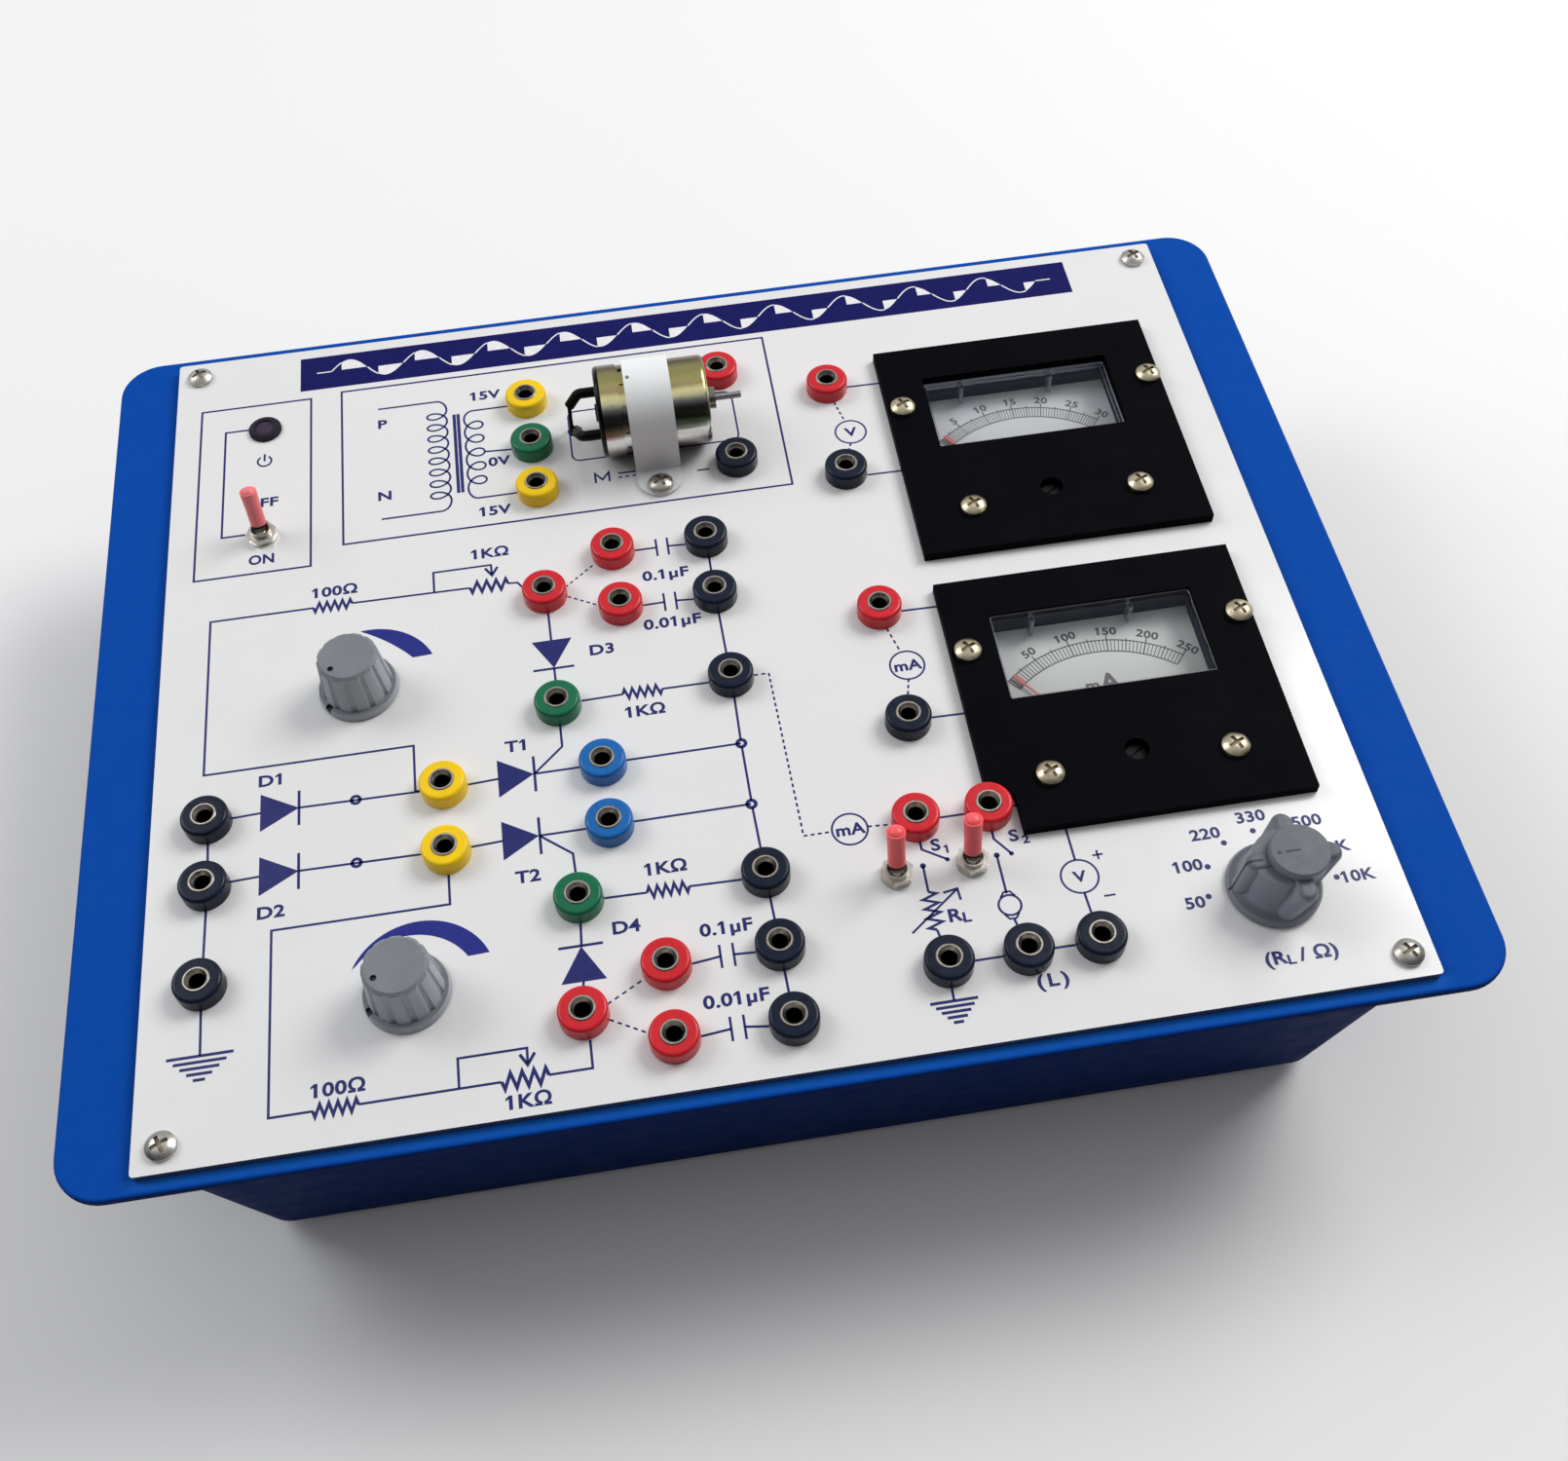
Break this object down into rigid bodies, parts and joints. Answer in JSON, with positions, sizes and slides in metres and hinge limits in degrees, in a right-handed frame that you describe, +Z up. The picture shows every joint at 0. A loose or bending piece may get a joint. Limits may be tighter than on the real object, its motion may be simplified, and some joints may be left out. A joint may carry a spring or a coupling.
{
  "type": "power electronics trainer",
  "caption": "Flat bench-top trainer for thyristor circuits: blue flanged tray, printed white panel with sockets, meters, switches, knobs, lamp and a small motor.",
  "frame": {"origin": "centre of the footprint, on the surface that the feet stand on", "axes": "+X to the operator's right along the long side, +Y to the back, +Z up out of the panel"},
  "size_m": [0.342, 0.2686, 0.0998],
  "materials": {
    "blue_moulding": "fine mottled texture, semi-matt",
    "white_panel": "glossy with dark blue print",
    "nickel": "nickel plated",
    "brassy_screw": "yellow passivated",
    "black_rubber": "matt",
    "red_gloss": "glossy",
    "black_gloss": "glossy",
    "green_gloss": "glossy",
    "yellow_gloss": "glossy",
    "blue_gloss": "glossy",
    "black_matte": "fine matt",
    "clear": "clear acrylic",
    "dial_white": "white card with printed scale",
    "needle_red": "satin",
    "salmon_red": "matt",
    "grey_knob": "matt",
    "gold_can": "yellow chromate",
    "steel": "bright",
    "strap_metal": "satin",
    "dark_red_lens": "dark when unlit",
    "core_steel": "varnished",
    "winding_tape": "tape",
    "board_green": "solder mask",
    "brass_part": "bright"
  },
  "bodies": {
    "trainer": {"cabinet_shell": "blue_moulding", "front_panel": "white_panel", "panel_screws": "nickel", "rubber_feet": "black_rubber", "chassis_screws": "nickel", "socket_collars_red": "red_gloss", "socket_collars_black": "black_gloss", "socket_collars_green": "green_gloss", "socket_collars_yellow": "yellow_gloss", "socket_collars_blue": "blue_gloss", "socket_sleeves": "nickel", "socket_nuts": "nickel", "voltmeter_cover_plate": "black_matte", "milliammeter_cover_plate": "black_matte", "meter_plate_screws": "brassy_screw", "voltmeter_case": "black_matte", "milliammeter_case": "black_matte", "voltmeter_window": "clear", "milliammeter_window": "clear", "voltmeter_dial": "dial_white", "milliammeter_dial": "dial_white", "meter_movements": "steel", "toggle_switch_bodies": "black_matte", "toggle_bushings": "nickel", "control_nuts": "nickel", "potentiometer_bodies": "steel", "rotary_switch_body": "black_matte", "motor_can": "gold_can", "motor_end_cap": "gold_can", "motor_strap": "strap_metal", "motor_strap_screws": "nickel", "motor_leads": "black_matte", "lamp_holder": "black_gloss", "lamp_lens": "dark_red_lens", "transformer_core": "core_steel", "transformer_winding": "winding_tape", "circuit_board": "board_green", "board_standoffs": "brass_part", "board_components": "black_matte", "mains_inlet": "black_matte", "inlet_pins": "nickel"},
    "main_toggle": {"main_toggle_lever": "nickel", "main_toggle_cap": "salmon_red"},
    "load_toggle_1": {"load_toggle_lever_1": "nickel", "load_toggle_cap_1": "salmon_red"},
    "load_toggle_2": {"load_toggle_lever_2": "nickel", "load_toggle_cap_2": "salmon_red"},
    "upper_pot": {"upper_pot_shaft": "steel", "upper_pot_knob": "grey_knob"},
    "lower_pot": {"lower_pot_shaft": "steel", "lower_pot_knob": "grey_knob"},
    "rotary_switch": {"rotary_switch_shaft": "steel", "rotary_switch_knob": "grey_knob"},
    "voltmeter_pointer": {"voltmeter_needle": "needle_red"},
    "milliammeter_pointer": {"milliammeter_needle": "needle_red"},
    "voltmeter_adjuster": {"voltmeter_zero_adjuster": "black_gloss"},
    "milliammeter_adjuster": {"milliammeter_zero_adjuster": "black_gloss"},
    "motor_rotor": {"motor_armature": "steel"},
    "inlet_drawer": {"fuse_drawer": "black_matte", "fuse": "clear"}
  },
  "joints": [
    {"name": "main_toggle_flip", "type": "hinge", "parent": "trainer", "child": "main_toggle", "pos_m": [-0.1258, 0.05515, 0.074], "axis": [1, 0, 0], "range_deg": [0, 24]},
    {"name": "load_toggle_1_flip", "type": "hinge", "parent": "trainer", "child": "load_toggle_1", "pos_m": [0.0311, -0.08345, 0.074], "axis": [1, 0, 0], "range_deg": [0, 24]},
    {"name": "load_toggle_2_flip", "type": "hinge", "parent": "trainer", "child": "load_toggle_2", "pos_m": [0.05, -0.08325, 0.074], "axis": [1, 0, 0], "range_deg": [0, 24]},
    {"name": "upper_pot_turn", "type": "hinge", "parent": "trainer", "child": "upper_pot", "pos_m": [-0.0992, -0.00375, 0.073], "axis": [0, 0, 1], "range_deg": [-280.5, 19.5]},
    {"name": "lower_pot_turn", "type": "hinge", "parent": "trainer", "child": "lower_pot", "pos_m": [-0.0891, -0.09545, 0.073], "axis": [0, 0, 1], "range_deg": [-267, 33]},
    {"name": "rotary_switch_turn", "type": "hinge", "parent": "trainer", "child": "rotary_switch", "pos_m": [0.1202, -0.10185, 0.073], "axis": [0, 0, 1], "range_deg": [-180, 0]},
    {"name": "voltmeter_needle_swing", "type": "hinge", "parent": "trainer", "child": "voltmeter_pointer", "pos_m": [0.0977, 0.03155, 0.068], "axis": [0, 0, 1], "range_deg": [-72, 2], "stiffness_Nm_per_rad": 0.00002},
    {"name": "milliammeter_needle_swing", "type": "hinge", "parent": "trainer", "child": "milliammeter_pointer", "pos_m": [0.0977, -0.05915, 0.068], "axis": [0, 0, 1], "range_deg": [-72, 2], "stiffness_Nm_per_rad": 0.00002},
    {"name": "voltmeter_adjuster_turn", "type": "hinge", "parent": "trainer", "child": "voltmeter_adjuster", "pos_m": [0.0977, 0.03155, 0.073], "axis": [0, 0, 1], "range_deg": [-30, 30]},
    {"name": "milliammeter_adjuster_turn", "type": "hinge", "parent": "trainer", "child": "milliammeter_adjuster", "pos_m": [0.0977, -0.05915, 0.073], "axis": [0, 0, 1], "range_deg": [-30, 30]},
    {"name": "motor_spin", "type": "hinge", "parent": "trainer", "child": "motor_rotor", "pos_m": [-0.0025, 0.07335, 0.0861], "axis": [1, 0, 0], "continuous": true},
    {"name": "fuse_drawer_pull", "type": "slide", "parent": "trainer", "child": "inlet_drawer", "axis": [0, 0.9871, -0.1604], "range_m": [0, 0.014]}
  ]
}
